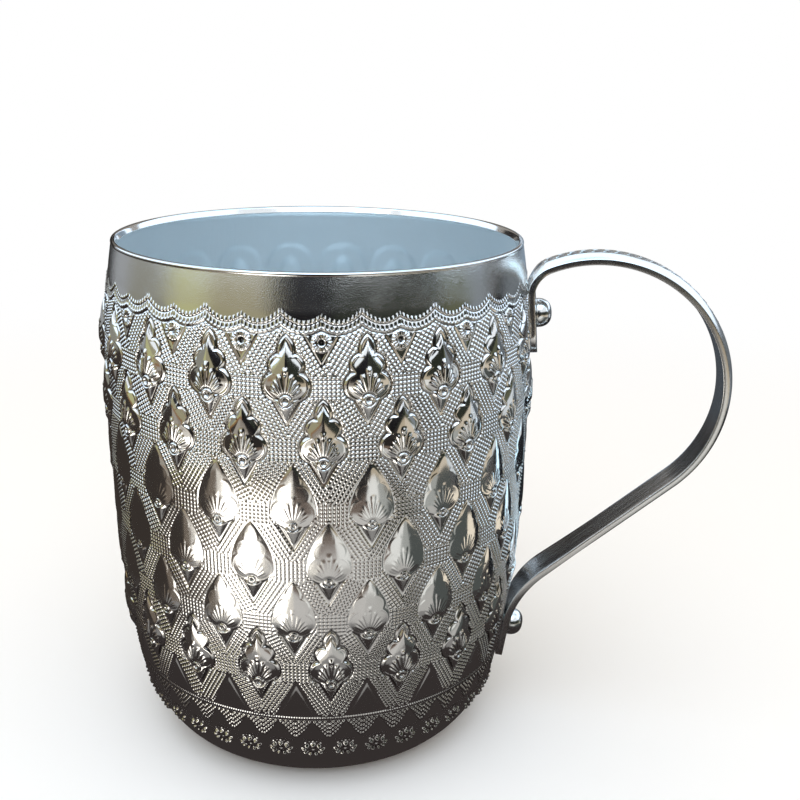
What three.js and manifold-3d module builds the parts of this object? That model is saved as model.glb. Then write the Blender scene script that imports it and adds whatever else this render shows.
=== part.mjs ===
// An embossed aluminium drinking cup with a strap handle held by two rivets.
// Millimetres, +Z up. The cup stands on z = 0 about the Z axis and its handle points along +X.

import * as THREE from "three";
import { mergeVertices } from "three/addons/utils/BufferGeometryUtils.js";
import Module from "manifold-3d";

const wasm = await Module();
wasm.setup();

// Cup sheet: outer radii and heights of the plain wall, before the bosses are raised on it
const cupHeight = 102.6;
const wallThickness = 0.9;
const baseFlatRadius = 27.2;
const cornerTopHeight = 19;
const cornerTopInset = 2.75;
const cornerTopSlope = 0.15;
const cornerFlatReach = 7;
const cornerWallReach = 10.5;
const bellyHeight = 76;
const bellyRadius = 42.35;
const mouthInset = 2.25;
const mouthSlope = -0.18;
const rimBeadProud = 0.2;

// Lotus-bud bosses pressed out of the wall in staggered rows
const budsAround = 20;
const budPhaseDegrees = 2.2;
const budRowPitch = 11;
const budHalfWidthDegrees = 5.2;
const budHalfHeight = 6.75;
const budRise = 0.9;
const budCurve = 1.5;
const budFlank = 0.75;
const plainBandHeight = 10.6;
const lowerBandHeight = 18.5;

// Handle strap: a domed band with flattened tabs at both ends
const strapWidth = 8;
const strapEdgeThickness = 1.2;
const strapCrown = 1.1;
const tabWidth = 9.6;
const tabThickness = 1.4;
const tabNoseRadius = 4.6;
const upperTabBelowRivet = 8;
const lowerTabBelowRivet = 8;
const lowerTabAboveRivet = 0.6;
const handleTopBelowRim = 1.5;
const gripDepth = 38;
const bowRadius = 25;
const topRiseDegrees = 22;
const upperBendRadius = 4.5;
const lowerBendRadius = 22;

// Rivets: a button head outside and a flattened tail inside the cup
const upperRivetBelowRim = 14.5;
const lowerRivetBelowRim = 83.1;
const rivetShankRadius = 1.5;
const rivetHeadRadius = 2.9;
const rivetHeadHeight = 2.7;
const rivetTailRadius = 2.4;
const rivetTailHeight = 0.9;

// Clearances between pieces
const seatGap = 0.3;
const headGap = 0.3;
const tailGap = 0.4;
const holeClearance = 0.3;
const drillOverrun = 3;
const tabFlatAbove = 6.5;
const tabFlatMargin = 4.6;
const tabFlatFade = 3.5;

// Facet counts
const columnsPerBud = 4;
const rowsPerPitch = 3;
const cornerSteps = 7;
const topSteps = 2;
const innerWallSteps = 4;
const beadSteps = 5;
const rivetSides = 24;
const domeSteps = 6;
const holeSides = 24;
const noseSteps = 6;
const strapSteps = 72;
const crownSteps = 4;
const curveSamples = 80;

const columns = budsAround * columnsPerBud;
const cornerTopRadius = bellyRadius - cornerTopInset;
const mouthRadius = bellyRadius - mouthInset;
const rimBeadRadius = (wallThickness + rimBeadProud) / 2;
const tabFace = seatGap + tabThickness;

// Wall profile

// A cubic between two points whose handles rise a third of the height, at the slopes given
function tangentCurve(from, fromSlope, to, toSlope) {
  const reach = (to.y - from.y) / 3;
  const first = new THREE.Vector2(from.x + fromSlope * reach, from.y + reach);
  const second = new THREE.Vector2(to.x - toSlope * reach, to.y - reach);
  return new THREE.CubicBezierCurve(from, first, second, to);
}

const baseEdge = new THREE.Vector2(baseFlatRadius, 0);
const cornerTop = new THREE.Vector2(cornerTopRadius, cornerTopHeight);
const belly = new THREE.Vector2(bellyRadius, bellyHeight);

// The bead sits on the inner face of the wall, and the wall runs up into its underside.
const beadStart = -Math.acos((wallThickness - rimBeadRadius) / rimBeadRadius);
const beadCentre = new THREE.Vector2(mouthRadius - wallThickness + rimBeadRadius, cupHeight - rimBeadRadius);
const mouth = new THREE.Vector2(mouthRadius, beadCentre.y + rimBeadRadius * Math.sin(beadStart));

const cornerCurve = new THREE.CubicBezierCurve(
  baseEdge,
  new THREE.Vector2(baseFlatRadius + cornerFlatReach, 0),
  new THREE.Vector2(cornerTopRadius - cornerTopSlope * cornerWallReach, cornerTopHeight - cornerWallReach),
  cornerTop,
);
const lowerWall = tangentCurve(cornerTop, cornerTopSlope, belly, 0);
const upperWall = tangentCurve(belly, 0, mouth, mouthSlope);
const wallCurves = [cornerCurve, lowerWall, upperWall];
const wallSamples = wallCurves.flatMap((curve) => curve.getPoints(curveSamples));

function wallAt(height) {
  let i = 1;
  while (i < wallSamples.length - 1 && wallSamples[i].y < height) i += 1;
  while (wallSamples[i].y === wallSamples[i - 1].y) i += 1;
  const low = wallSamples[i - 1];
  const slope = (wallSamples[i].x - low.x) / (wallSamples[i].y - low.y);
  return { radius: low.x + slope * (height - low.y), slope };
}

// The frame where a tab lies on the wall: a point, the way out of the wall and the way up it
function wallSeat(height) {
  const { radius, slope } = wallAt(height);
  const out = new THREE.Vector2(1, -slope).normalize();
  const up = new THREE.Vector2(slope, 1).normalize();
  return { point: new THREE.Vector2(radius, height), out, up };
}

const upperSeat = wallSeat(cupHeight - upperRivetBelowRim);
const lowerSeat = wallSeat(cupHeight - lowerRivetBelowRim);

// Lotus-bud relief

const firstBudHeight = cupHeight - plainBandHeight - budHalfHeight;
const budRoom = firstBudHeight - budHalfHeight - lowerBandHeight;
const budRows = Math.max(1, Math.floor(budRoom / budRowPitch) + 1);
const budPitchDegrees = 360 / budsAround;

function smoothStep(from, to, value) {
  return THREE.MathUtils.smoothstep(value, from, to);
}

// The wall is left flat under the tabs, so that they seat on it.
function flatUnderTab(across, height, seat, below) {
  const low = seat.point.y - below;
  const high = seat.point.y + tabFlatAbove;
  const outside = Math.max(low - height, height - high, 0);
  const aside = Math.max(Math.abs(across) - tabWidth / 2, 0);
  return smoothStep(tabFlatMargin, tabFlatMargin + tabFlatFade, Math.hypot(outside, aside));
}

function budRelief(degrees, height) {
  let rise = 0;
  for (let row = 0; row < budRows; row += 1) {
    const along = (height - firstBudHeight + row * budRowPitch) / budHalfHeight;
    const stagger = row % 2 === 0 ? 0 : budPitchDegrees / 2;
    const turn = (degrees - budPhaseDegrees - stagger) / budPitchDegrees;
    const across = ((turn - Math.round(turn)) * budPitchDegrees) / budHalfWidthDegrees;
    const spread = Math.abs(along) ** budCurve + Math.abs(across) ** budCurve;
    rise = Math.max(rise, budRise * Math.max(0, 1 - spread) ** budFlank);
  }
  return rise;
}

function wallRelief(degrees, point) {
  const angle = THREE.MathUtils.degToRad(degrees);
  const front = Math.cos(angle) > 0;
  const across = point.x * Math.sin(angle);
  const upper = front ? flatUnderTab(across, point.y, upperSeat, upperTabBelowRivet) : 1;
  const lower = front ? flatUnderTab(across, point.y, lowerSeat, lowerTabBelowRivet) : 1;
  return budRelief(degrees, point.y) * upper * lower;
}

// Closed meshes from rings of points

function closedMesh(rings, firstCap, lastCap) {
  const count = rings[0].length;
  const positions = rings.flat().flatMap((point) => point.toArray());
  const firstIndex = rings.length * count;
  positions.push(...firstCap.toArray(), ...lastCap.toArray());
  const faces = [];
  for (let j = 0; j < count; j += 1) {
    const next = (j + 1) % count;
    for (let i = 0; i < rings.length - 1; i += 1) {
      const low = i * count;
      const high = low + count;
      faces.push(low + j, low + next, high + next, low + j, high + next, high + j);
    }
    const last = (rings.length - 1) * count;
    faces.push(firstIndex, next, j, firstIndex + 1, last + j, last + next);
  }
  const geometry = new THREE.BufferGeometry();
  geometry.setAttribute("position", new THREE.Float32BufferAttribute(positions, 3));
  geometry.setIndex(faces);
  return geometry;
}

function toSolid(geometry) {
  const bare = geometry.clone();
  bare.deleteAttribute("normal");
  bare.deleteAttribute("uv");
  const merged = mergeVertices(bare, 1e-4);
  return new wasm.Manifold(new wasm.Mesh({
    numProp: 3,
    vertProperties: new Float32Array(merged.attributes.position.array),
    triVerts: new Uint32Array(merged.index.array),
  }));
}

function toGeometry(solid) {
  const mesh = solid.getMesh();
  const geometry = new THREE.BufferGeometry();
  geometry.setAttribute("position", new THREE.Float32BufferAttribute(mesh.vertProperties, 3));
  geometry.setIndex(Array.from(mesh.triVerts));
  geometry.computeVertexNormals();
  return geometry;
}

// A rivet's axis runs out of the wall at its seat, and its own Y axis is turned to that.
function alongSeat(object, seat, distance) {
  const out = new THREE.Vector3(seat.out.x, 0, seat.out.y);
  object.quaternion.setFromUnitVectors(new THREE.Vector3(0, 1, 0), out);
  object.position.set(seat.point.x, 0, seat.point.y).addScaledVector(out, distance);
  object.updateMatrix();
  return object;
}

function rivetHole(seat) {
  const radius = rivetShankRadius + holeClearance;
  const length = wallThickness + tabFace + 2 * drillOverrun;
  const cutter = alongSeat(new THREE.Object3D(), seat, (tabFace - wallThickness) / 2);
  const drill = new THREE.CylinderGeometry(radius, radius, length, holeSides);
  return toSolid(drill.applyMatrix4(cutter.matrix));
}

function drillRivetHoles(geometry) {
  const upper = rivetHole(upperSeat);
  const lower = rivetHole(lowerSeat);
  return toGeometry(toSolid(geometry).subtract(upper).subtract(lower));
}

// Cup body

function outerWallHeights() {
  const step = budRowPitch / rowsPerPitch;
  const top = firstBudHeight + Math.ceil(budHalfHeight / step) * step;
  const heights = [];
  for (let height = top; height > cornerTopHeight + step / 2; height -= step) heights.unshift(height);
  for (let k = 1; k <= topSteps; k += 1) heights.push(top + ((mouth.y - top) * k) / topSteps);
  return heights;
}

function innerPoint(curve, t) {
  const tangent = curve.getTangent(t);
  const inward = new THREE.Vector2(-tangent.y, tangent.x);
  return curve.getPoint(t).addScaledVector(inward, wallThickness);
}

function cupProfile() {
  const outer = cornerCurve.getPoints(cornerSteps);
  for (const height of outerWallHeights()) outer.push(new THREE.Vector2(wallAt(height).radius, height));
  const bead = [];
  for (let k = 1; k <= beadSteps; k += 1) {
    const angle = THREE.MathUtils.lerp(beadStart, Math.PI, k / beadSteps);
    const reach = new THREE.Vector2(Math.cos(angle), Math.sin(angle)).multiplyScalar(rimBeadRadius);
    bead.push(beadCentre.clone().add(reach));
  }
  const inner = [];
  for (let k = innerWallSteps - 1; k >= 0; k -= 1) inner.push(innerPoint(upperWall, k / innerWallSteps));
  for (let k = innerWallSteps - 1; k >= 0; k -= 1) inner.push(innerPoint(lowerWall, k / innerWallSteps));
  for (let k = cornerSteps - 1; k >= 0; k -= 1) inner.push(innerPoint(cornerCurve, k / cornerSteps));
  return { outer, inside: [...bead, ...inner] };
}

function ringAt(point, rise) {
  const ring = [];
  for (let column = 0; column < columns; column += 1) {
    const degrees = budPhaseDegrees + (360 * column) / columns;
    const angle = THREE.MathUtils.degToRad(degrees);
    const radius = point.x + rise(degrees, point);
    ring.push(new THREE.Vector3(radius * Math.cos(angle), radius * Math.sin(angle), point.y));
  }
  return ring;
}

function cupBody() {
  const { outer, inside } = cupProfile();
  const rings = [
    ...outer.map((point) => ringAt(point, wallRelief)),
    ...inside.map((point) => ringAt(point, () => 0)),
  ];
  const underside = new THREE.Vector3(0, 0, 0);
  const floor = new THREE.Vector3(0, 0, wallThickness);
  return drillRivetHoles(closedMesh(rings, underside, floor));
}

// Handle strap

function crossing(pointA, wayA, pointB, wayB) {
  const offset = pointB.clone().sub(pointA);
  const along = offset.cross(wayB) / wayA.cross(wayB);
  return pointA.clone().addScaledVector(wayA, along);
}

// A path of straight runs whose inner corners are rounded by arcs
function roundedPath(corners, radii) {
  const path = new THREE.CurvePath();
  let from = corners[0];
  for (let i = 1; i < corners.length - 1; i += 1) {
    const corner = corners[i];
    const back = corners[i - 1].clone().sub(corner).normalize();
    const ahead = corners[i + 1].clone().sub(corner).normalize();
    const half = Math.acos(THREE.MathUtils.clamp(back.dot(ahead), -1, 1)) / 2;
    const start = corner.clone().addScaledVector(back, radii[i - 1] / Math.tan(half));
    const end = corner.clone().addScaledVector(ahead, radii[i - 1] / Math.tan(half));
    const middle = back.clone().add(ahead).normalize();
    const centre = corner.clone().addScaledVector(middle, radii[i - 1] / Math.sin(half));
    const startAngle = Math.atan2(start.y - centre.y, start.x - centre.x);
    const endAngle = Math.atan2(end.y - centre.y, end.x - centre.x);
    path.add(new THREE.LineCurve(from, start));
    path.add(new THREE.EllipseCurve(centre.x, centre.y, radii[i - 1], radii[i - 1], startAngle, endAngle,
      back.cross(ahead) > 0));
    from = end;
  }
  path.add(new THREE.LineCurve(from, corners[corners.length - 1]));
  return path;
}

// The path follows the strap's flat face, which looks into the finger gap. It rises from the upper bend to
// the bow, and its straight run crosses from the outside of the bow to the inside of the lower bend.
function handlePath() {
  const origin = new THREE.Vector2();
  const topHeight = cupHeight - handleTopBelowRim - strapEdgeThickness - strapCrown;
  const upperPoint = upperSeat.point.clone().addScaledVector(upperSeat.out, tabFace);
  const lowerPoint = lowerSeat.point.clone().addScaledVector(lowerSeat.out, seatGap);
  const bowCentre = new THREE.Vector2(bellyRadius + gripDepth - bowRadius, topHeight - bowRadius);
  const topWay = new THREE.Vector2(1, 0).rotateAround(origin, THREE.MathUtils.degToRad(topRiseDegrees));
  const topPoint = bowCentre.clone().add(new THREE.Vector2(-topWay.y, topWay.x).multiplyScalar(bowRadius));
  const bendCentre = lowerPoint.clone()
    .addScaledVector(lowerSeat.up, lowerTabAboveRivet)
    .addScaledVector(lowerSeat.out, lowerBendRadius);
  const apart = bendCentre.clone().sub(bowCentre);
  const crossAngle = Math.asin((bowRadius + lowerBendRadius) / apart.length());
  const runWay = apart.clone().normalize().rotateAround(origin, -crossAngle);
  const runPoint = bowCentre.clone().add(new THREE.Vector2(-runWay.y, runWay.x).multiplyScalar(bowRadius));
  return roundedPath([
    upperPoint.clone().addScaledVector(upperSeat.up, -upperTabBelowRivet),
    crossing(upperPoint, upperSeat.up, topPoint, topWay),
    crossing(topPoint, topWay, runPoint, runWay),
    crossing(runPoint, runWay, lowerPoint, lowerSeat.up),
    lowerPoint.clone().addScaledVector(lowerSeat.up, -lowerTabBelowRivet),
  ], [upperBendRadius, bowRadius, lowerBendRadius]);
}

function strapStations(length) {
  const nose = [];
  for (let k = 1; k <= noseSteps; k += 1) {
    nose.push(tabNoseRadius * (1 - Math.cos((k * Math.PI) / 2 / noseSteps)));
  }
  const middle = [];
  const first = nose[noseSteps - 1];
  for (let k = 1; k < strapSteps; k += 1) middle.push(first + ((length - 2 * first) * k) / strapSteps);
  return [...nose, ...middle, ...nose.map((distance) => length - distance).reverse()];
}

// How far a station is from a flat tab, 0, to the full strap, 1, along the bends above each tab
function strapFullness(distance, lengths) {
  const [upperTabEnd, upperBendEnd, , bowEnd, runEnd, lowerBendEnd] = lengths;
  const rising = smoothStep(upperTabEnd, upperBendEnd, distance);
  const falling = smoothStep((bowEnd + runEnd) / 2, (runEnd + lowerBendEnd) / 2, distance);
  return rising * (1 - falling);
}

// The strap's section: a flat face at the path, square edges and a domed outer face
function strapSection(width, edge, crown) {
  const half = width / 2;
  const section = [[-half, 0], [half, 0]];
  for (let k = 0; k <= crownSteps; k += 1) {
    const side = 1 - (2 * k) / crownSteps;
    section.push([half * side, edge + crown * (1 - side * side)]);
  }
  return section;
}

function handleStrap() {
  const path = handlePath();
  const lengths = path.getCurveLengths();
  const length = path.getLength();
  const rings = [];
  const caps = [];
  for (const distance of strapStations(length)) {
    const at = distance / length;
    const point = path.getPoint(at);
    const tangent = path.getTangent(at);
    const out = new THREE.Vector2(-tangent.y, tangent.x);
    const full = strapFullness(distance, lengths);
    const fromEnd = Math.min(distance, length - distance, tabNoseRadius);
    const nose = Math.sqrt(1 - (1 - fromEnd / tabNoseRadius) ** 2);
    const width = THREE.MathUtils.lerp(tabWidth, strapWidth, full) * nose;
    const edge = THREE.MathUtils.lerp(tabThickness, strapEdgeThickness, full);
    const place = ([across, rise]) => {
      const spot = point.clone().addScaledVector(out, rise);
      return new THREE.Vector3(spot.x, across, spot.y);
    };
    rings.push(strapSection(width, edge, strapCrown * full).map(place));
    caps.push(place([0, edge / 2]));
  }
  return drillRivetHoles(closedMesh(rings, caps[0], caps[caps.length - 1]));
}

// Rivets

function rivetShape() {
  const tailTop = -(wallThickness + tabFace + tailGap);
  const points = [
    new THREE.Vector2(0, tailTop - rivetTailHeight),
    new THREE.Vector2(rivetTailRadius, tailTop - rivetTailHeight),
    new THREE.Vector2(rivetTailRadius, tailTop),
    new THREE.Vector2(rivetShankRadius, tailTop),
    new THREE.Vector2(rivetShankRadius, headGap),
  ];
  for (let k = 0; k <= domeSteps; k += 1) {
    const angle = (k * Math.PI) / 2 / domeSteps;
    const radius = k === domeSteps ? 0 : rivetHeadRadius * Math.cos(angle);
    points.push(new THREE.Vector2(radius, headGap + rivetHeadHeight * Math.sin(angle)));
  }
  return new THREE.LatheGeometry(points, rivetSides);
}

// Assembly

function aluminium(color, roughness) {
  return new THREE.MeshStandardMaterial({ color, roughness, metalness: 1 });
}

function piece(name, geometry, material) {
  const mesh = new THREE.Mesh(geometry, material);
  mesh.name = name;
  return mesh;
}

const cup = new THREE.Group();
cup.add(piece("cup_body", cupBody(), aluminium("#b4b6b5", 0.25)));
cup.add(piece("handle_strap", handleStrap(), aluminium("#c4c2be", 0.3)));
cup.add(alongSeat(piece("upper_rivet", rivetShape(), aluminium("#c2c8c6", 0.15)), upperSeat, tabFace));
cup.add(alongSeat(piece("lower_rivet", rivetShape(), aluminium("#c2c8c6", 0.15)), lowerSeat, tabFace));

export default cup;
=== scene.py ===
"""An embossed aluminium cup with a riveted strap handle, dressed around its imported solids."""

import math

import bpy
import numpy as np
from mathutils import Matrix, Vector


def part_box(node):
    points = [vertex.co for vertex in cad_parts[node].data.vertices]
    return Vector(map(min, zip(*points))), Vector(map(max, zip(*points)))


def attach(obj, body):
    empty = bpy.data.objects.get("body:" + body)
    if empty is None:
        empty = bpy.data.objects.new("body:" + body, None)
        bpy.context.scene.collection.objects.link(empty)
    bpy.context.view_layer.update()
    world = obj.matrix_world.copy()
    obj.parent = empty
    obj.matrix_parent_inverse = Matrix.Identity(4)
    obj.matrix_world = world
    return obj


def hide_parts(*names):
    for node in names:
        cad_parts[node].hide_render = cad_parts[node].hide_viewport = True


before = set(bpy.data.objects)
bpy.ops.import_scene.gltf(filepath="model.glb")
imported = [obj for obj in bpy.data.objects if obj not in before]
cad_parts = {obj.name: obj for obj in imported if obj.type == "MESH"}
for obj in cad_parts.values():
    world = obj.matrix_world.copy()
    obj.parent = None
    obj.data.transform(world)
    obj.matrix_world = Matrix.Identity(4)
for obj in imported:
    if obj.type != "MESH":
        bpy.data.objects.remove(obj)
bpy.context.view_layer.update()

MM = 0.001
FULL_TURN = 360

# Cup wall in millimetres, the same driving sizes as its solid
CUP_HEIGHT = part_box("cup_body")[1].z / MM
WALL_THICKNESS = 0.9
BASE_FLAT_RADIUS = 27.2
CORNER_TOP_HEIGHT = 19
CORNER_TOP_SLOPE = 0.15
CORNER_FLAT_REACH = 7
CORNER_WALL_REACH = 10.5
BELLY_HEIGHT = 76
BELLY_RADIUS = 42.35
CORNER_TOP_RADIUS = BELLY_RADIUS - 2.75
MOUTH_RADIUS = BELLY_RADIUS - 2.25
MOUTH_SLOPE = -0.18

# Rim, in millimetres and degrees: rolled over almost flush with the wall, with a short lip turned in and a
# crest, between two levels below the top, that is darkened with painted shade
BEAD_PROUD = 0.06
BEAD_RADIUS = (WALL_THICKNESS + BEAD_PROUD) / 2
LIP_TILT = 24
LIP_LENGTH = 1.15
LIP_UNDERSIDE = (0.06, -0.04)
RIM_CREST = (-0.16, -0.06)

# Relief on the wall, in millimetres and degrees; heights are measured up the unrolled wall. The edges of its
# forms have the two ends of a fade, from nothing to the full form, and its lines have a half width
BUDS_AROUND = 20
MM_PER_DEGREE = math.radians(1) * BELLY_RADIUS
COLUMN_PITCH = FULL_TURN / BUDS_AROUND * MM_PER_DEGREE
SPREAD = 1.7
SPREAD_MIDDLE = -84
PATTERN_LOW = 6.5
PATTERN_TOP = 97.5
FAR_OFF = 9.0

# Rows of buds, struck a little unevenly: height of the rings, angle of one ring, and how crisp the lines
# are, because buffing has worn the rows at the belly
BUD_ROWS = (
    (81.7, -88.2, 1), (70.7, -80.1, 0.9), (58.9, -87.0, 0.35),
    (48.1, -79.0, 0.3), (37.1, -87.4, 0.4), (26.8, -78.5, 0.9))

# Most worn patch of the wall: its middle and the fade at its sides, below it and above it
WEAR_TURN = -92
WEAR_SIDES = (40, 18)
WEAR_STARTS = (30, 40)
WEAR_ENDS = (72, 62)

# Handle and rivets, with the driving sizes of their solids, drawn tight where the solids keep clearances
SEAT_GAP = 0.02
HEAD_GAP = 0.02
STRAP_WIDTH = 8
STRAP_EDGE = 1.2
STRAP_CROWN = 1.1
TAB_WIDTH = 9.6
TAB_THICKNESS = 1.4
TAB_NOSE_RADIUS = 4.6
TAB_BELOW_RIVET = 8
LOWER_TAB_ABOVE_RIVET = 0.6
HANDLE_TOP_BELOW_RIM = 1.5
GRIP_DEPTH = 38
BOW_RADIUS = 25
TOP_RISE = 22
UPPER_BEND_RADIUS = 4.5
LOWER_BEND_RADIUS = 22
UPPER_RIVET_HEIGHT = CUP_HEIGHT - 14.5
LOWER_RIVET_HEIGHT = CUP_HEIGHT - 83.1
RIVET_SHANK_RADIUS = 1.5
RIVET_HEAD_RADIUS = 2.9
RIVET_HEAD_HEIGHT = 3
RIVET_TAIL_RADIUS = 2.4
RIVET_TAIL_HEIGHT = 1

# The photograph's camera: its place about the cup's axis and the way that it looks
FRAME_PIXELS = 800
FOCAL_PIXELS = 1063.3
SENSOR_WIDTH = 36
CAMERA_AZIMUTH = -80.5
CAMERA_DISTANCE = 210.6
CAMERA_HEIGHT = 136.1
CAMERA_PITCH = 17.91
CAMERA_YAW = 4.47
CAMERA_ROLL = 1.006
CLIP_START = 0.01


def linear(hex_colour):
    """A colour written as sRGB hex, as linear RGB with an alpha of 1."""
    parts = [int(hex_colour[i:i + 2], 16) / 255 for i in (1, 3, 5)]
    made = [p / 12.92 if p <= 0.04045 else ((p + 0.055) / 1.055) ** 2.4 for p in parts]
    return (*made, 1)


def fade(low, high, value):
    """A smooth fade from 0 where the value is low to 1 where it is high."""
    t = np.clip((value - low) / (high - low), 0, 1)
    return t * t * (3 - 2 * t)


def ridge(distance, half_width):
    """A rounded ridge of height 1 along the line where distance is 0."""
    return np.exp(-(distance / half_width) ** 2)


def unit(vector):
    return vector / np.linalg.norm(vector)


def at_angle(angles):
    """Points of the unit circle at the angles given."""
    return np.stack([np.cos(angles), np.sin(angles)], axis=-1)


def left_of(way):
    return np.array((-way[1], way[0]))


def new_object(name, data):
    made = bpy.data.objects.new(name, data)
    bpy.context.scene.collection.objects.link(made)
    return made


def lengths_along(points):
    """Length of a path at each of its points."""
    return np.concatenate([[0], np.cumsum(np.linalg.norm(np.diff(points, axis=0), axis=1))])


def points_at(lengths, path_lengths, values):
    """Points, or other pairs of values along a path, at the lengths given."""
    return np.stack([np.interp(lengths, path_lengths, values[:, k]) for k in (0, 1)], axis=-1)


def ways_along(path_lengths, points):
    """The way that a path runs at each of its points."""
    return np.stack([np.gradient(points[:, k], path_lengths) for k in (0, 1)], axis=-1)


# Camera

def make_camera():
    """Stands where the photo was taken. Its place is worked out as if it looked along +Y, and then turned."""
    pitch, yaw, roll = (math.radians(a) for a in (CAMERA_PITCH, CAMERA_YAW, CAMERA_ROLL))
    ahead = Vector((math.sin(yaw) * math.cos(pitch), math.cos(yaw) * math.cos(pitch), -math.sin(pitch)))
    level = Vector((math.cos(yaw), -math.sin(yaw), 0))
    above = level.cross(ahead)
    right = math.cos(roll) * level + math.sin(roll) * above
    up = math.cos(roll) * above - math.sin(roll) * level
    matrix = Matrix((right, up, -ahead)).transposed().to_4x4()
    matrix.translation = Vector((0, -CAMERA_DISTANCE, CAMERA_HEIGHT)) * MM
    data = bpy.data.cameras.new("camera")
    data.sensor_width = SENSOR_WIDTH
    data.lens = SENSOR_WIDTH * FOCAL_PIXELS / FRAME_PIXELS
    data.clip_start = CLIP_START
    camera = new_object("camera", data)
    camera.matrix_world = Matrix.Rotation(math.radians(CAMERA_AZIMUTH + 90), 4, "Z") @ matrix
    bpy.context.scene.camera = camera


# Wall profile: radius and height of the plain wall, by height up the unrolled wall

def bezier(points, count):
    t = np.linspace(0, 1, count)[:, None]
    a, b, c, d = np.array(points, float)
    return (1 - t) ** 3 * a + 3 * (1 - t) ** 2 * t * b + 3 * (1 - t) * t ** 2 * c + t ** 3 * d


def tangent_curve(start, start_slope, end, end_slope, count):
    reach = (end[1] - start[1]) / 3
    first = (start[0] + start_slope * reach, start[1] + reach)
    second = (end[0] - end_slope * reach, end[1] - reach)
    return bezier((start, first, second, end), count)


CURVE_SAMPLES = 400
BEAD_START = -math.acos((WALL_THICKNESS - BEAD_RADIUS) / BEAD_RADIUS)
BEAD_CENTRE = np.array((MOUTH_RADIUS - WALL_THICKNESS + BEAD_RADIUS, CUP_HEIGHT - BEAD_RADIUS))
MOUTH = (MOUTH_RADIUS, BEAD_CENTRE[1] + BEAD_RADIUS * math.sin(BEAD_START))
CORNER_TOP = (CORNER_TOP_RADIUS, CORNER_TOP_HEIGHT)
BELLY = (BELLY_RADIUS, BELLY_HEIGHT)
CORNER = bezier((
    (BASE_FLAT_RADIUS, 0),
    (BASE_FLAT_RADIUS + CORNER_FLAT_REACH, 0),
    (CORNER_TOP_RADIUS - CORNER_TOP_SLOPE * CORNER_WALL_REACH, CORNER_TOP_HEIGHT - CORNER_WALL_REACH),
    CORNER_TOP), CURVE_SAMPLES)
LOWER_WALL = tangent_curve(CORNER_TOP, CORNER_TOP_SLOPE, BELLY, 0, CURVE_SAMPLES)
UPPER_WALL = tangent_curve(BELLY, 0, MOUTH, MOUTH_SLOPE, CURVE_SAMPLES)
PROFILE = np.concatenate([CORNER, LOWER_WALL[1:], UPPER_WALL[1:]])
UNROLLED = lengths_along(PROFILE)
UNROLLED += CORNER_TOP_HEIGHT - UNROLLED[CURVE_SAMPLES - 1]


def wall_points(heights):
    """Points (radius, height) of the plain wall at unrolled heights, and the ways out of the wall there."""
    points = points_at(heights, UNROLLED, PROFILE)
    ways = points_at(heights, UNROLLED, ways_along(UNROLLED, PROFILE))
    out = np.stack([ways[:, 1], -ways[:, 0]], axis=-1)
    return points, out / np.linalg.norm(out, axis=1, keepdims=True)


def wall_seat(height):
    """A tab's place on the wall: a point, the way out of the wall and the way up it, as (radius, height)."""
    unrolled = np.interp(height, PROFILE[:, 1], UNROLLED)
    points, out = wall_points(np.array([unrolled]))
    return points[0], out[0], left_of(out[0])


UPPER_SEAT = wall_seat(UPPER_RIVET_HEIGHT)
LOWER_SEAT = wall_seat(LOWER_RIVET_HEIGHT)

# Lotus bud, in millimetres about its ring: a keeled leaf with a lobed outline, a fan of ribs, a ring with a
# pit, and a stem point. A lobe has the place of its centre and its radius. Worn buds are lower, wider and
# rounder, and keep no lobes
LOWER_LOBE = (1.15, 2.3, 2.5)
MIDDLE_LOBE = (0.95, 5.8, 1.7)
TIP_BASE = 8.3
TIP_HALF_WIDTH = 1.1
TIP_RADIUS = 3
LOBE_BLEND = 0.12
LOBE_EDGE = (0.1, -0.2)
LOBED_FROM = 0.5
LEAF_MIDDLE = 2.6
LEAF_HALF_WIDTH = 3.7
LEAF_ABOVE = 7.5
LEAF_BELOW = 4.4
LEAF_ROUNDING = 0.65
LEAF_SLIMMING = 0.85
LEAF_STEP = 0.1
LEAF_STEP_EDGE = (0.05, -0.2)
WORN_LEAF_TALLER = 2.4
WORN_LEAF_WIDER = 0.2
WORN_HEIGHT = 0.35
WORN_EDGE = 0.8
CREST_RISE = 0.95
CREST_ABOVE = 10.5
CREST_BELOW = 4.8
CREST_LEVELLED = 7
CREST_ENDING = 8
SLOPE_ROUNDING = 1.5
CREST_WEAR = 0.9
STEM_TOP = -0.9
STEM_POINT = -3.9
STEM_HALF_WIDTH = 1.65
STEM_RISE = 1.2
STEM_ROUNDING = 3
STEM_EDGE = (0.6, STEM_TOP)
STEM_SPAN = (STEM_POINT - 1, 0.5)
RIB_STEP = math.radians(13.6)
RIB_LENGTHS = (5.85, 4.8, 4.1, 3.6, 3.3)
RIB_RISE = 0.26
RIB_HALF_WIDTH = 0.03
RIB_WIDENING = 0.07
RIB_TIP = 0.9
RIB_EDGE = (0, -0.4)
WORN_RIBS = 0.1
RING_RADIUS = 1.08
RING_RISE = 0.2
RING_EDGE = (1.0, 0.85)
RING_GROOVE = 0.14
RING_GROOVE_RADIUS = RING_RADIUS + 0.04
RING_GROOVE_HALF_WIDTH = 0.12
RING_WEAR = 0.42
WORN_RING = 0.4
OFF_RING = (RING_RADIUS, RING_RADIUS + 0.3)
DISC_RISE = 0.8
DISC_EDGE = (1.4, 1.05)
PIT_RADIUS = 0.48
PIT_DEPTH = 0.28
PIT_EDGE = (PIT_RADIUS - 0.1, PIT_RADIUS + 0.1)
OUTLINE_RISE = 0.18
OUTLINE_HALF_WIDTH = 0.17
OUTLINE_FOOT = (-0.6, 0)
OUTLINE_GROOVE = 0.1
OUTLINE_GROOVE_OUT = 0.4
OUTLINE_GROOVE_HALF_WIDTH = 0.15
WORN_OUTLINE = 0.4
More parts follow.
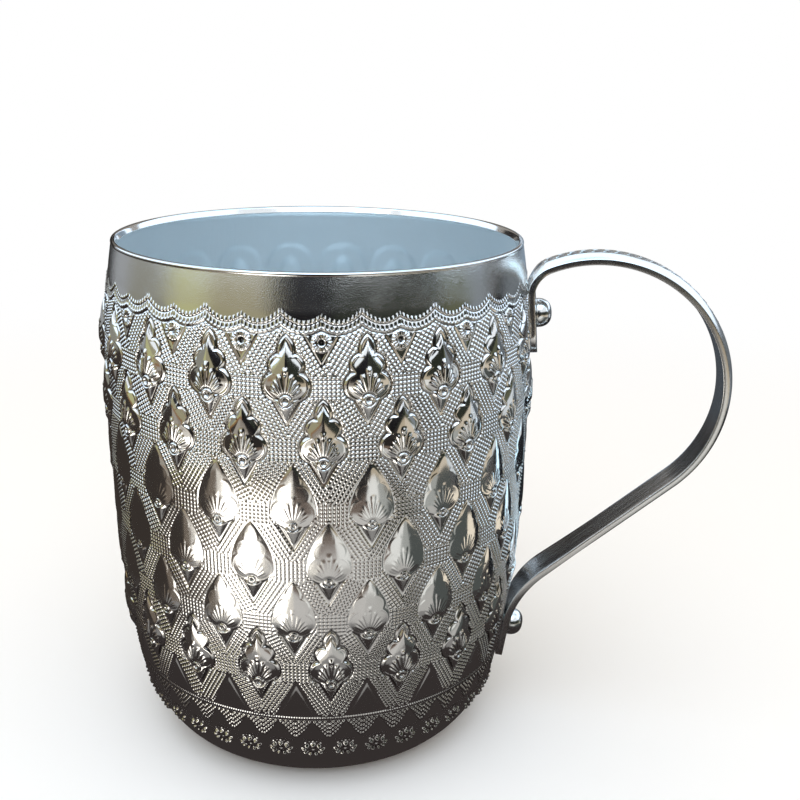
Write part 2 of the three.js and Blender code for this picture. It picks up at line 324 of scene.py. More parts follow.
WORN_OUTLINE_TOP = (3, 1)
BUD_SPAN = (STEM_POINT - 2, 13)
THINNEST = 1e-3


def leaf_share(above, crisp):
    """How far up or down the leaf a spot is: 0 where it is widest and 1 at its ends."""
    up = above - LEAF_MIDDLE
    return np.abs(up) / np.where(up > 0, LEAF_ABOVE + WORN_LEAF_TALLER * (1 - crisp), LEAF_BELOW)


def leaf_width(above, crisp):
    """Half width of the leaf, which is slimmer towards its tip where it is crisp."""
    quarter = np.minimum(leaf_share(above, crisp), 1) * math.pi / 2
    widest = LEAF_HALF_WIDTH * (1 + WORN_LEAF_WIDER * (1 - crisp))
    return np.maximum(widest * np.cos(quarter) ** (LEAF_ROUNDING + LEAF_SLIMMING * crisp), THINNEST)


def leaf_slopes(across, above, crisp):
    """Height of the leaf: two rounded slopes that meet along an upright crest, rounded over by wear."""
    up = above - LEAF_MIDDLE
    reach = np.where(up > 0, CREST_ABOVE + CREST_LEVELLED * (1 - crisp), CREST_BELOW)
    crest = np.clip(1 - (up / reach) ** 2, 0, 1)
    crest = crest * np.clip(1 - leaf_share(above, crisp) ** CREST_ENDING, 0, 1)
    share = np.minimum(np.abs(across) / leaf_width(above, crisp), 1)
    return CREST_RISE * crest * (1 - share ** (SLOPE_ROUNDING + CREST_WEAR * (1 - crisp)))


def outside_bud(across, above):
    """Distance outside the bud's lobed outline, below 0 inside it."""
    side = np.abs(across)
    parts = [np.hypot(side - x, above - y) - radius for x, y, radius in (LOWER_LOBE, MIDDLE_LOBE)]
    parts.append(np.hypot(side + TIP_RADIUS - TIP_HALF_WIDTH, above - TIP_BASE) - TIP_RADIUS)
    return -LOBE_BLEND * np.log(sum(np.exp(-part / LOBE_BLEND) for part in parts))


def stem_width(above):
    return STEM_HALF_WIDTH * (above - STEM_POINT) / (STEM_TOP - STEM_POINT)


def fan_of_ribs(across, above):
    """Tapered ribs that spread upwards from the ring, the middle one longest."""
    reach = np.hypot(across, above)
    angle = np.arctan2(across, above)
    total = np.zeros_like(reach)
    for k, length in enumerate(RIB_LENGTHS):
        for side in (-1, 1) if k else (1,):
            width = RIB_HALF_WIDTH + RIB_WIDENING * reach
            aside = reach * np.sin(angle - side * k * RIB_STEP) / width
            ends = fade(*OFF_RING, reach) * fade(length, length - RIB_TIP, reach)
            total = np.maximum(total, np.exp(-aside ** 4) * ends * (np.abs(angle) < math.pi / 2))
    return total


def left_by_wear(least, crisp):
    """The share of a height that wear leaves, from the least one to all of it where the bud is crisp."""
    return least + (1 - least) * crisp


def lotus_bud(across, above, crisp):
    """The bud's height, and the distance outside everything that belongs to it."""
    leaf = outside_bud(across, above)
    oval = np.maximum(np.abs(across) - leaf_width(above, crisp), (leaf_share(above, crisp) - 1) * LEAF_BELOW)
    cut = fade(*LOBE_EDGE, leaf) if crisp > LOBED_FROM else 1
    outside = leaf if crisp > LOBED_FROM else oval + WORN_EDGE
    proud = left_by_wear(WORN_HEIGHT, crisp)
    height = leaf_slopes(across, above, crisp) * cut * proud
    height += LEAF_STEP * crisp ** 3 * fade(*LEAF_STEP_EDGE, leaf)
    ribs = fan_of_ribs(across, above) * fade(*RIB_EDGE, leaf)
    height += RIB_RISE * left_by_wear(WORN_RIBS, crisp ** 2) * ribs
    roof = np.abs(across) / np.maximum(stem_width(above), THINNEST)
    roof = np.clip(1 - roof ** STEM_ROUNDING, 0, 1)
    falling = np.clip((above - STEM_POINT) / (STEM_TOP - STEM_POINT), 0, 1)
    height = np.maximum(height, STEM_RISE * proud * falling * roof * fade(*STEM_EDGE, above))
    reach = np.hypot(across, above) / (1 - RING_WEAR * (1 - crisp))
    disc = fade(*DISC_EDGE, reach)
    height = height * (1 - disc) + disc * np.maximum(DISC_RISE * proud, height - RIB_RISE)
    struck = left_by_wear(WORN_RING, crisp)
    ring = fade(*PIT_EDGE, reach) * fade(*RING_EDGE, reach)
    groove = ridge(reach - RING_GROOVE_RADIUS, RING_GROOVE_HALF_WIDTH)
    height += struck * (RING_RISE * ring - RING_GROOVE * groove)
    height -= PIT_DEPTH * struck * np.clip(1 - reach / PIT_RADIUS, 0, 1)
    lines = crisp ** 2 + WORN_OUTLINE * (1 - crisp) * fade(*WORN_OUTLINE_TOP, above)
    lines = lines * fade(*OUTLINE_FOOT, above) * fade(*OFF_RING, reach)
    groove = ridge(leaf - OUTLINE_GROOVE_OUT, OUTLINE_GROOVE_HALF_WIDTH)
    height += lines * (OUTLINE_RISE * ridge(leaf, OUTLINE_HALF_WIDTH) - OUTLINE_GROOVE * groove)
    by_stem = (above > STEM_SPAN[0]) & (above < STEM_SPAN[1])
    stem_outside = np.where(by_stem, np.abs(across) - stem_width(above), FAR_OFF)
    return height, np.minimum(np.minimum(outside, stem_outside), reach - RING_RADIUS)


# Hatched ground between the buds, in millimetres: ribbons of beads that follow the diamond lattice, with
# patches where they cross
HATCH_PITCH = 0.72
HATCH_DEPTH = 0.36
HATCH_WEAR = 0.5
BEAD_CREST = 0.25
BEAD_ROUNDING = 0.9
BEAD_SQUARENESS = 0.8
RIBBON_PITCH = 10.98
RIBBON_WAY = unit(np.array((COLUMN_PITCH / 2, RIBBON_PITCH)))
RIBBON_START = (85.1, -87.7)
CROSS_PATCH_ABOVE = 2.0
CROSS_PATCH_HALF = (2.6, 2.1)


def around(degrees, phase, count):
    """Distance round the wall, in millimetres, from the nearest of evenly spaced places."""
    turn = (degrees - phase) * count / FULL_TURN
    return (turn - np.round(turn)) * FULL_TURN / count * MM_PER_DEGREE


def beads(along, across, worn=0):
    """Square beads, 1 at their crests and 0 in the lines between them. The punch was held aslant, so each
    rises steeply and then falls away gently along its row. Worn beads run together but for their corners."""
    up, aside = (way / HATCH_PITCH - np.floor(way / HATCH_PITCH) for way in (along, across))
    ramp = np.minimum(up / BEAD_CREST, (1 - up) / (1 - BEAD_CREST)) ** BEAD_ROUNDING
    side = np.sin(math.pi * aside) ** BEAD_SQUARENESS
    return ramp * side + worn * (ramp + side - 2 * ramp * side)


def hatched_ground(degrees, heights, worn):
    """Bead heights of the ground: ribbons slant both ways, and patches where they cross stand upright."""
    column = around(degrees, RIBBON_START[1], BUDS_AROUND)
    above = heights - RIBBON_START[0]
    spans = np.array((COLUMN_PITCH, 2 * RIBBON_PITCH))
    spacing = 1 / np.linalg.norm(1 / spans)
    ribbons = []
    for side in (1, -1):
        turn = side * column / spans[0] + above / spans[1] - 0.5
        middle = (turn - np.round(turn)) * spacing
        along = -side * column * RIBBON_WAY[0] + above * RIBBON_WAY[1]
        ribbons.append((np.abs(middle), beads(along, middle, worn)))
    made = np.where(ribbons[0][0] < ribbons[1][0], ribbons[0][1], ribbons[1][1])
    for ring_height, turn, _ in BUD_ROWS:
        aside = around(degrees, turn + 180 / BUDS_AROUND, BUDS_AROUND)
        level = heights - ring_height - CROSS_PATCH_ABOVE
        patch = (np.abs(aside) < CROSS_PATCH_HALF[0]) & (np.abs(level) < CROSS_PATCH_HALF[1])
        made = np.where(patch, beads(level, aside, worn), made)
    return made


# Bands above and below the buds, in millimetres and degrees. A garland line has its place above the lowest
# one, its rise and its half width. The sides of a triangle are its half width for each millimetre from its
# point, and the cosine of their lean. A flower is measured in shares of its half size
SCALLOPS_AROUND = 40
SCALLOP_HALF = 180 / SCALLOPS_AROUND * MM_PER_DEGREE
SCALLOP_LOW = 92.9
SCALLOP_SAG = 1.1
SCALLOP_OFFSET = 3.85 * MM_PER_DEGREE
GARLAND_LINE = (0.1, 0.2, 0.2)
GARLAND_GROOVES = ((1.3, 0.08, 0.12), (-0.3, 0.1, 0.15))
TICK_PITCH = 0.78
TICK_SHARPNESS = 3
LOWER_TICK_RISE = 0.32
LOWER_TICK_FOOT = (0, 0.2)
LOWER_TICK_TOP = 1.25
UPPER_TICK_RISE = 0.26
UPPER_TICK_FOOT = (1.4, 1.5)
UPPER_TICK_TOP = 2.25
UPPER_TICK_TAPER = 0.75
ROSETTE_TURN = -80.4
ROSETTE_HEIGHT = 91.4
ROSETTE_RADIUS = 1.7
ROSETTE_EDGE = (ROSETTE_RADIUS + 0.1, ROSETTE_RADIUS - 0.2)
ROSETTE_PETALS = 16
ROSETTE_RISE = 0.15
ROSETTE_RAY_RISE = 0.24
ROSETTE_RAY_START = (0.5, 0.7)
ROSETTE_RAY_END = (ROSETTE_RADIUS, ROSETTE_RADIUS - 0.25)
ROSETTE_PIT_RADIUS = 0.6
ROSETTE_PIT_DEPTH = 0.7
ROSETTE_POINT = 88
ROSETTE_SIDES = (0.55, 0.88)
ROSETTE_LINE_RISE = 0.1
ROSETTE_LINE_HALF_WIDTH = 0.16
BEAD_LINE_HEIGHT = 18.2
BEAD_LINE_HALF_WIDTH = 0.26
BEAD_LINE_PITCH = 0.5
BEAD_LINE_RISE = 0.24
BEAD_LINE_LEAST = 0.3
CUT_TRIANGLE_TURN = -87.3
CUT_TRIANGLE_POINT = 25.9
CUT_TRIANGLE_LOW = BEAD_LINE_HEIGHT + 0.5
CUT_TRIANGLE_SIDES = (0.5, 0.89)
CUT_TRIANGLE_EDGE = (0.1, -0.5)
CUT_TRIANGLE_RISE = 0.15
BAND_FOOT = (12.6, 12.8)
BAND_TOP = (BEAD_LINE_HEIGHT - 0.45, BEAD_LINE_HEIGHT - 0.65)
BAND_TRIANGLE_POINT = 17.2
BAND_TRIANGLE_EDGE = (0.05, -0.3)
BAND_TRIANGLE_RISE = 0.12
BAND_HATCH_EDGE = (0, 0.2)
FLOWER_TURN = -83.4
FLOWER_HEIGHT = 9.9
FLOWER_PETALS = 9
FLOWER_HALF_SIZE = (2.5, 1.8)
FLOWER_RISE = 0.8
FLOWER_PETAL_REACH = 0.74
FLOWER_PETAL_HALF_LENGTH = 0.34
FLOWER_EYE_RISE = 0.7
FLOWER_EYE_HALF_WIDTH = 0.26
FLOWER_ARCH_RISE = 0.16
FLOWER_ARCH_ABOVE = 2.2
FLOWER_ARCH_BOW = 0.16
FLOWER_ARCH_REACH = 2.2
FLOWER_ARCH_HALF_WIDTH = 0.2


def scallops(degrees, heights):
    """The garland's height, and how far a spot is above its lower line. Its scallops hang in pairs."""
    aside = np.abs(around(degrees, ROSETTE_TURN, BUDS_AROUND)) - SCALLOP_OFFSET
    sag = SCALLOP_SAG / SCALLOP_HALF ** 2
    lean = 1 / np.sqrt(1 + (2 * sag * aside) ** 2)
    above = (heights - SCALLOP_LOW - sag * aside ** 2) * lean
    ticks = np.abs(np.cos(math.pi * aside / lean ** 0.5 / TICK_PITCH)) ** TICK_SHARPNESS
    lower_ticks = fade(*LOWER_TICK_FOOT, above) * np.clip(1 - above / LOWER_TICK_TOP, 0, 1) * ticks
    upper_ticks = np.clip((UPPER_TICK_TOP - above) / UPPER_TICK_TAPER, 0, 1) * ticks
    upper_ticks = upper_ticks * fade(*UPPER_TICK_FOOT, above)
    place, rise, half_width = GARLAND_LINE
    made = np.maximum(rise * ridge(above - place, half_width), LOWER_TICK_RISE * lower_ticks)
    made += UPPER_TICK_RISE * upper_ticks
    for place, depth, half_width in GARLAND_GROOVES:
        made -= depth * ridge(above - place, half_width)
    return made, above


def rosettes(degrees, heights):
    """Radial petals about a pit, in plain triangles under every second cusp, and their outside distance."""
    aside = around(degrees, ROSETTE_TURN, BUDS_AROUND)
    above = heights - ROSETTE_HEIGHT
    reach = np.hypot(aside, above)
    petals = 0.5 + 0.5 * np.cos(ROSETTE_PETALS * np.arctan2(aside, above))
    rays = petals * fade(*ROSETTE_RAY_START, reach) * fade(*ROSETTE_RAY_END, reach)
    made = ROSETTE_RISE * fade(*ROSETTE_EDGE, reach)
    made += ROSETTE_RAY_RISE * rays
    made -= ROSETTE_PIT_DEPTH * np.clip(1 - reach / ROSETTE_PIT_RADIUS, 0, 1)
    field = (np.abs(aside) - ROSETTE_SIDES[0] * (heights - ROSETTE_POINT)) * ROSETTE_SIDES[1]
    made += ROSETTE_LINE_RISE * ridge(field, ROSETTE_LINE_HALF_WIDTH)
    return made, np.minimum(field, reach - ROSETTE_RADIUS)


def cut_off_triangles(degrees, heights):
    """Plain facets between the lowest buds and the bead line, and their outside distance."""
    aside = around(degrees, CUT_TRIANGLE_TURN, BUDS_AROUND)
    width = CUT_TRIANGLE_SIDES[0] * (CUT_TRIANGLE_POINT - heights)
    field = (np.abs(aside) - width) * CUT_TRIANGLE_SIDES[1]
    field = np.maximum(field, CUT_TRIANGLE_LOW - heights)
    return CUT_TRIANGLE_RISE * fade(*CUT_TRIANGLE_EDGE, field), field


def low_band(degrees, heights):
    """A beaded line, plain and hatched triangles below it, and a row of flowers."""
    spots = 0.5 + 0.5 * np.cos(2 * math.pi * degrees * MM_PER_DEGREE / BEAD_LINE_PITCH)
    spots = BEAD_LINE_LEAST + (1 - BEAD_LINE_LEAST) * spots
    made = BEAD_LINE_RISE * ridge(heights - BEAD_LINE_HEIGHT, BEAD_LINE_HALF_WIDTH) * spots
    aside = around(degrees, FLOWER_TURN, SCALLOPS_AROUND)
    width = SCALLOP_HALF * (BAND_TRIANGLE_POINT - heights) / (BAND_TRIANGLE_POINT - BAND_FOOT[0])
    field = np.abs(aside) - width
    in_band = fade(*BAND_FOOT, heights) * fade(*BAND_TOP, heights)
    ground = beads((aside + heights) * math.sqrt(0.5), (heights - aside) * math.sqrt(0.5))
    plain = BAND_TRIANGLE_RISE * fade(*BAND_TRIANGLE_EDGE, field)
    made += in_band * (plain + HATCH_DEPTH * ground * fade(*BAND_HATCH_EDGE, field))
    across, above = aside / FLOWER_HALF_SIZE[0], (heights - FLOWER_HEIGHT) / FLOWER_HALF_SIZE[1]
    reach = np.hypot(across, above)
    petals = 0.5 + 0.5 * np.cos(FLOWER_PETALS * np.arctan2(across, above))
    flower = ridge(reach - FLOWER_PETAL_REACH, FLOWER_PETAL_HALF_LENGTH) * (1 + petals) / 2
    flower += FLOWER_EYE_RISE * ridge(reach, FLOWER_EYE_HALF_WIDTH)
    dots = 0.5 + 0.5 * np.cos(2 * math.pi * aside / TICK_PITCH)
    over = heights - FLOWER_HEIGHT - FLOWER_ARCH_ABOVE + FLOWER_ARCH_BOW * aside ** 2
    arch = ridge(over, FLOWER_ARCH_HALF_WIDTH) * (np.abs(aside) < FLOWER_ARCH_REACH)
    return made + FLOWER_RISE * flower + FLOWER_ARCH_RISE * arch * dots


# Whole relief of the wall. Each tab lies in a plain oval: height of its middle, half height and half width
TAB_PLAIN = ((UPPER_RIVET_HEIGHT - 1, 9.5, 6.2), (LOWER_RIVET_HEIGHT + 1, 14.5, 12))
TAB_PLAIN_FADE = (0.75, 1.05)
GROUND_EDGE = (0.5, 0.7)
GROUND_TOP = (-0.25, -0.45)
GROUND_FOOT = (BEAD_LINE_HEIGHT + 0.35, BEAD_LINE_HEIGHT + 0.6)


def plain_by_tabs(degrees, heights):
    """0 on the wall that is left plain under and beside the handle's tabs, 1 away from them."""
    made = np.ones(np.broadcast(degrees, heights).shape)
    for middle, half_height, half_width in TAB_PLAIN:
        reach = np.hypot(around(degrees, 0, 1) / half_width, (heights - middle) / half_height)
        made = made * fade(*TAB_PLAIN_FADE, reach)
    return made


def spread_pattern(degrees):
    """Angles of the even pattern: the struck one is spread a little on the side that faces forward."""
    return degrees - SPREAD * np.sin(np.radians(degrees - SPREAD_MIDDLE))


def wear(degrees, heights):
    """1 on the patch of the belly where buffing and handling have worn the relief most, 0 away from it."""
    aside = np.abs(around(degrees, WEAR_TURN, 1)) / MM_PER_DEGREE
    up = fade(*WEAR_STARTS, heights) * fade(*WEAR_ENDS, heights)
    return up * fade(*WEAR_SIDES, aside)


def wall_relief(degrees, heights):
    """Height of the relief over columns of degrees and rows of unrolled heights."""
    struck = spread_pattern(degrees)[None, :]
    heights = heights[:, None]
    relief = np.zeros((len(heights), len(degrees)))
    clear = np.full(relief.shape, FAR_OFF)
    for ring_height, turn, crisp in BUD_ROWS:
        above = heights - ring_height
        near = np.nonzero((above[:, 0] > BUD_SPAN[0]) & (above[:, 0] < BUD_SPAN[1]))[0]
        height, outside = lotus_bud(around(struck, turn, BUDS_AROUND), above[near], crisp)
        relief[near] += height
        clear[near] = np.minimum(clear[near], outside)
    for motif in (rosettes, cut_off_triangles):
        height, outside = motif(struck, heights)
        relief += height
        clear = np.minimum(clear, outside)
    garland, above_garland = scallops(struck, heights)
    ground = fade(*GROUND_EDGE, clear) * fade(*GROUND_TOP, above_garland) * fade(*GROUND_FOOT, heights)
    relief = np.where(above_garland < 0, relief, 0) + garland + low_band(struck, heights)
    worn = wear(degrees[None, :], heights)
    depth = HATCH_DEPTH * (1 - HATCH_WEAR * worn)
    relief = relief + depth * hatched_ground(struck, heights, worn) * ground
    return relief * plain_by_tabs(degrees[None, :], heights)


# Hollow backs of the buds inside the cup, in millimetres about the rings
BACK_MIDDLE = 3.4
BACK_HALF_SIZE = (6.2, 8.8)
BACK_RISE = 0.3
BACK_SQUARENESS = 2.6
BACK_EDGE = (1.15, 0.7)
TIP_BACK_HALF_SIZE = (3.3, 6.4)
TIP_BACK_RISE = 0.5
TIP_BACK_EDGE = (1, 0.55)


def soft_backs(degrees, heights):
    """Depth of the hollow backs: broad soft dimples, each with a deeper one behind its leaf."""
    struck = spread_pattern(degrees)[None, :]
    heights = heights[:, None]
    made = np.zeros((len(heights), len(degrees)))
    for ring_height, turn, _ in BUD_ROWS:
        across = np.abs(around(struck, turn, BUDS_AROUND))
        above = np.abs(heights - ring_height - BACK_MIDDLE)
        broad = (across / BACK_HALF_SIZE[0]) ** BACK_SQUARENESS
        broad = broad + (above / BACK_HALF_SIZE[1]) ** BACK_SQUARENESS
        deep = np.hypot(across / TIP_BACK_HALF_SIZE[0], above / TIP_BACK_HALF_SIZE[1])
        hollow = BACK_RISE * fade(*BACK_EDGE, broad) + TIP_BACK_RISE * fade(*TIP_BACK_EDGE, deep)
        made = np.maximum(made, hollow)
    return made * plain_by_tabs(degrees[None, :], heights)


# Closed meshes from blocks of rings. Shares of a strip's width that count as its start and its end
STRIP_START = 0.3
STRIP_END = 0.7


def bridge(low, high):
    """Faces between two rings of vertex numbers. One ring's count is a multiple of the other's."""
    if len(low) == len(high):
        return np.stack([low, np.roll(low, -1), np.roll(high, -1), high], axis=1)
    fine, coarse = (low, high) if len(low) > len(high) else (high, low)
    share = len(fine) // len(coarse)
    runs = np.stack([np.roll(fine, -k)[::share] for k in range(share + 1)], axis=1)
    after = np.roll(coarse, -1)
    if fine is low:
        return np.concatenate([runs, after[:, None], coarse[:, None]], axis=1)
    return np.concatenate([coarse[:, None], after[:, None], runs[:, ::-1]], axis=1)


def loft(name, blocks):
    """A closed, smooth mesh through blocks of rings, capped at both ends, with a map of its surface."""
    rings = [ring for block in blocks for ring in block]
    points = np.concatenate(rings)
    starts = np.concatenate([[0], np.cumsum([len(ring) for ring in rings])])
    numbers = [np.arange(a, b) for a, b in zip(starts[:-1], starts[1:])]
    faces = [bridge(low, high) for low, high in zip(numbers[:-1], numbers[1:])]
    faces += [numbers[0][None, ::-1], numbers[-1][None, :]]
    corners = np.concatenate([face.ravel() for face in faces])
    totals = np.concatenate([np.full(len(face), face.shape[1]) for face in faces])
    mesh = bpy.data.meshes.new(name)
    mesh.vertices.add(len(points))
    mesh.vertices.foreach_set("co", (points * MM).astype(np.float32).ravel())
    mesh.loops.add(len(corners))
    mesh.loops.foreach_set("vertex_index", corners.astype(np.int32))
    mesh.polygons.add(len(totals))
    first_corners = np.concatenate([[0], np.cumsum(totals)[:-1]])
    mesh.polygons.foreach_set("loop_start", first_corners.astype(np.int32))
    mesh.polygons.foreach_set("use_smooth", np.ones(len(totals), bool))
    mesh.update(calc_edges=True)
    map_strip(mesh, rings, numbers, corners, totals)
    mesh.validate()
    return new_object(name, mesh)


def map_strip(mesh, rings, numbers, corners, totals):
    """Lays the surface out as one strip: round the rings across it, and along the rings up it. A face that
    closes its ring runs on past the strip's edge."""
    lengths = [np.linalg.norm(b[0] - a[0]) for a, b in zip(rings[:-1], rings[1:])]
    up = np.concatenate([[0], np.cumsum(lengths)]) / sum(lengths)
    across = np.concatenate([np.arange(len(ring)) / len(ring) for ring in rings])
    level = np.concatenate([np.full(len(ring), v) for ring, v in zip(rings, up)])
    spots = across[corners]
    face = np.repeat(np.arange(len(totals)), totals)
    highest = np.zeros(len(totals))
    np.maximum.at(highest, face, spots)
    spots = np.where((highest[face] > STRIP_END) & (spots < STRIP_START), spots + 1, spots)
    strip = mesh.uv_layers.new(name="OFBake")
    strip.data.foreach_set("uv", np.stack([spots, level[corners]], axis=1).astype(np.float32).ravel())


def point_values(piece, name, values):
    """Gives each vertex of a piece a value that its material can read."""
    layer = piece.data.attributes.new(name, "FLOAT", "POINT")
    layer.data.foreach_set("value", np.ascontiguousarray(values, dtype=np.float32))


# Cup body: columns round it and steps up it, in millimetres. Oxide and painted shade darken the relief
# where it lies lower than the mean of its neighbours, and the satin band starts in a fade below the top of
# the pattern
FINE_COLUMNS = 2160
INNER_SHARE = 4
BASE_COLUMNS = 60
FINE_STEP = 0.15
CORNER_STEP = 0.5
BAND_STEP = 0.45
INNER_STEP = 0.5
BEAD_STEPS = 14
LIP_STEPS = 6
FLOOR_RADII = (22, 14, 6, 1)
OXIDE_AND_SHADE_PASSES = 8
OXIDE_AND_SHADE_START = 0.05
OXIDE_AND_SHADE_FADE = 0.06
SATIN_FADE = (-2.5, -0.5)


def soften(field, passes):
    """Averages a field with its neighbours, round the wall and up it."""
    for _ in range(passes):
        field = (field + np.roll(field, 1, axis=1) + np.roll(field, -1, axis=1)) / 3
        padded = np.pad(field, ((1, 1), (0, 0)), mode="edge")
        field = (padded[:-2] + padded[1:-1] + padded[2:]) / 3
    return field


def turned(radii, heights, degrees):
    """Rings of points about the cup's axis; radii and heights have a row for each ring."""
    angles = np.radians(degrees)
    radii = np.broadcast_to(radii, (len(radii), len(degrees)))
    heights = np.broadcast_to(heights, radii.shape)
    return np.stack([radii * np.cos(angles), radii * np.sin(angles), heights], axis=-1)


def raised(heights, rise, degrees):
    """Rings on the wall at unrolled heights, raised out of it."""
    points, out = wall_points(heights)
    return turned(points[:, :1] + rise * out[:, :1], points[:, 1:] + rise * out[:, 1:], degrees)


def outer_heights():
    corner = np.arange(UNROLLED[0], PATTERN_LOW, CORNER_STEP)
    pattern = np.arange(PATTERN_LOW, PATTERN_TOP, FINE_STEP)
    band = np.arange(PATTERN_TOP, UNROLLED[-1], BAND_STEP)
    return np.concatenate([corner, pattern, band, UNROLLED[-1:]])


def rim_profile():
    """The rim over its round top and down its rolled-in lip, which leans inwards, as (radius, height)."""
    tilt = math.radians(LIP_TILT)
    sweep = np.linspace(BEAD_START, math.pi - tilt, BEAD_STEPS + 1)[1:]
    top = BEAD_CENTRE + BEAD_RADIUS * at_angle(sweep)
    down = np.array((-math.sin(tilt), -math.cos(tilt)))
    lip = top[-1] + np.linspace(0, LIP_LENGTH, LIP_STEPS + 1)[1:, None] * down
    return np.concatenate([top, lip, lip[-1:] + LIP_UNDERSIDE])


def cup_body():
    """The sheet from the base up the outside, over the rim, and down the inside to the floor."""
    degrees = np.arange(FINE_COLUMNS) * FULL_TURN / FINE_COLUMNS
    inner_degrees = degrees[::INNER_SHARE]
    heights = outer_heights()
    relief = wall_relief(degrees, heights)
    outer = raised(heights, relief, degrees)
    profile = rim_profile()
    rim = turned(profile[:, :1], profile[:, 1:], degrees)
    inner_heights = np.arange(UNROLLED[-1] - 2 * INNER_STEP, UNROLLED[0], -INNER_STEP)
    backs = soft_backs(inner_degrees, inner_heights)
    inner = raised(inner_heights, backs - WALL_THICKNESS, inner_degrees)
    floor_radii = np.array(FLOOR_RADII, float)[:, None]
    floor = turned(floor_radii, np.full(floor_radii.shape, WALL_THICKNESS), inner_degrees)
    base = turned(floor_radii[::-1], np.zeros(floor_radii.shape), degrees[::FINE_COLUMNS // BASE_COLUMNS])
    blocks = [base, outer, rim, inner, floor]
    cup = loft("embossed_cup", blocks)
    # Darker where the relief lies below the mean of its neighbours: partly oxide in the hollows, partly
    # painted shade in the lines of the hatch
    oxide_and_shade = np.clip((soften(relief, OXIDE_AND_SHADE_PASSES) - relief - OXIDE_AND_SHADE_START) / OXIDE_AND_SHADE_FADE, 0, 1)
    # Painted shade: the top of the rim is darkened through the same tint as the hollows
    crest = fade(*RIM_CREST, profile[:, 1:] - CUP_HEIGHT)
    satin = fade(*SATIN_FADE, heights[:, None] - PATTERN_TOP)
    worn = wear(degrees[None, :], heights[:, None])
    for name, values in (("oxide_and_shade", (0, oxide_and_shade, crest, 0, 0)), ("satin", (0, satin, 0, 0, 0)),
                         ("inside", (0, 0, 0, 1, 1)), ("worn", (0, worn, 0, 0, 0))):
        spread = [np.broadcast_to(value, block.shape[:2]).ravel() for value, block in zip(values, blocks)]
        point_values(cup, name, np.concatenate(spread))
    return cup


# Handle strap, in millimetres: steps, rounded edges and the chased chain of leaves, whose cuts
# hold oxide and painted shade
PATH_STEP = 0.05
STRAP_STEP = 0.22
NOSE_STEPS = 24
FACE_STEPS = 36
FLAT_STEPS = 12
EDGE_STEPS = 3
EDGE_RADIUS = 0.14
PETAL_PITCH = 2.1
PETAL_HALF_WIDTH = 1.7
PETAL_BOW = 0.55
PETAL_SWELL = 1.5
PETAL_EDGE = (1, 0.7)
VEIN_PITCH = 0.85
VEIN_SHARE = 0.2
CHASING_DEPTH = 0.3
OXIDE_AND_SHADE_DEPTHS = (0.14, 0.28)
DOME_POWER = 2.3


def crossing(point_a, way_a, point_b, way_b):
    """Where two lines cross, each given by a point and a way."""
    gap = point_b - point_a
    along = (gap[0] * way_b[1] - gap[1] * way_b[0]) / (way_a[0] * way_b[1] - way_a[1] * way_b[0])
    return point_a + way_a * along


def rounded_path(corners, radii):
    """Points of a path of straight runs with corners rounded by arcs, and the lengths where its parts end."""
    parts = []
    start = corners[0]
    for before, corner, after, radius in zip(corners[:-2], corners[1:-1], corners[2:], radii):
        back, ahead = unit(before - corner), unit(after - corner)
        half = math.acos(back @ ahead) / 2
        enter, leave = (corner + way * radius / math.tan(half) for way in (back, ahead))
        centre = corner + unit(back + ahead) * radius / math.sin(half)
        first, last = (math.atan2(*(p - centre)[::-1]) for p in (enter, leave))
        swing = (last - first + math.pi) % (2 * math.pi) - math.pi
        angles = first + np.linspace(0, swing, int(abs(swing) * radius / PATH_STEP) + 2)
        parts.append(np.linspace(start, enter, int(np.linalg.norm(enter - start) / PATH_STEP) + 2))
        parts.append(centre + radius * at_angle(angles))
        start = leave
    parts.append(np.linspace(start, corners[-1], int(np.linalg.norm(corners[-1] - start) / PATH_STEP) + 2))
    ends = np.cumsum([lengths_along(part)[-1] for part in parts])
    return np.concatenate([parts[0]] + [part[1:] for part in parts[1:]]), ends


def handle_path():
    """The strap's flat face, from the end of its upper tab to the end of its lower tab."""
    top_height = CUP_HEIGHT - HANDLE_TOP_BELOW_RIM - STRAP_EDGE - STRAP_CROWN
    upper = UPPER_SEAT[0] + UPPER_SEAT[1] * (SEAT_GAP + TAB_THICKNESS)
    lower = LOWER_SEAT[0] + LOWER_SEAT[1] * SEAT_GAP
    bow_centre = np.array((BELLY_RADIUS + GRIP_DEPTH - BOW_RADIUS, top_height - BOW_RADIUS))
    top_way = at_angle(math.radians(TOP_RISE))
    top_point = bow_centre + BOW_RADIUS * left_of(top_way)
    bend_centre = lower + LOWER_SEAT[2] * LOWER_TAB_ABOVE_RIVET + LOWER_SEAT[1] * LOWER_BEND_RADIUS
    apart = bend_centre - bow_centre
    cross_angle = math.asin((BOW_RADIUS + LOWER_BEND_RADIUS) / np.linalg.norm(apart))
    run_way = at_angle(math.atan2(apart[1], apart[0]) - cross_angle)
    run_point = bow_centre + BOW_RADIUS * left_of(run_way)
    return rounded_path([
        upper - UPPER_SEAT[2] * TAB_BELOW_RIVET,
        crossing(upper, UPPER_SEAT[2], top_point, top_way),
        crossing(top_point, top_way, run_point, run_way),
        crossing(run_point, run_way, lower, LOWER_SEAT[2]),
        lower - LOWER_SEAT[2] * TAB_BELOW_RIVET,
    ], (UPPER_BEND_RADIUS, BOW_RADIUS, LOWER_BEND_RADIUS))


def strap_chasing(along, across):
    """Small leaves cut into the middle of the outer face, one after the other: 0 or below."""
    share = across / PETAL_HALF_WIDTH
    scale = along / PETAL_PITCH - PETAL_BOW * (1 - share ** 2)
    petal = (scale - np.floor(scale)) ** PETAL_SWELL
    veins = VEIN_SHARE * (np.cos(2 * math.pi * across / VEIN_PITCH) - 1)
    return (petal - 1 + veins * petal) * fade(*PETAL_EDGE, np.abs(share))


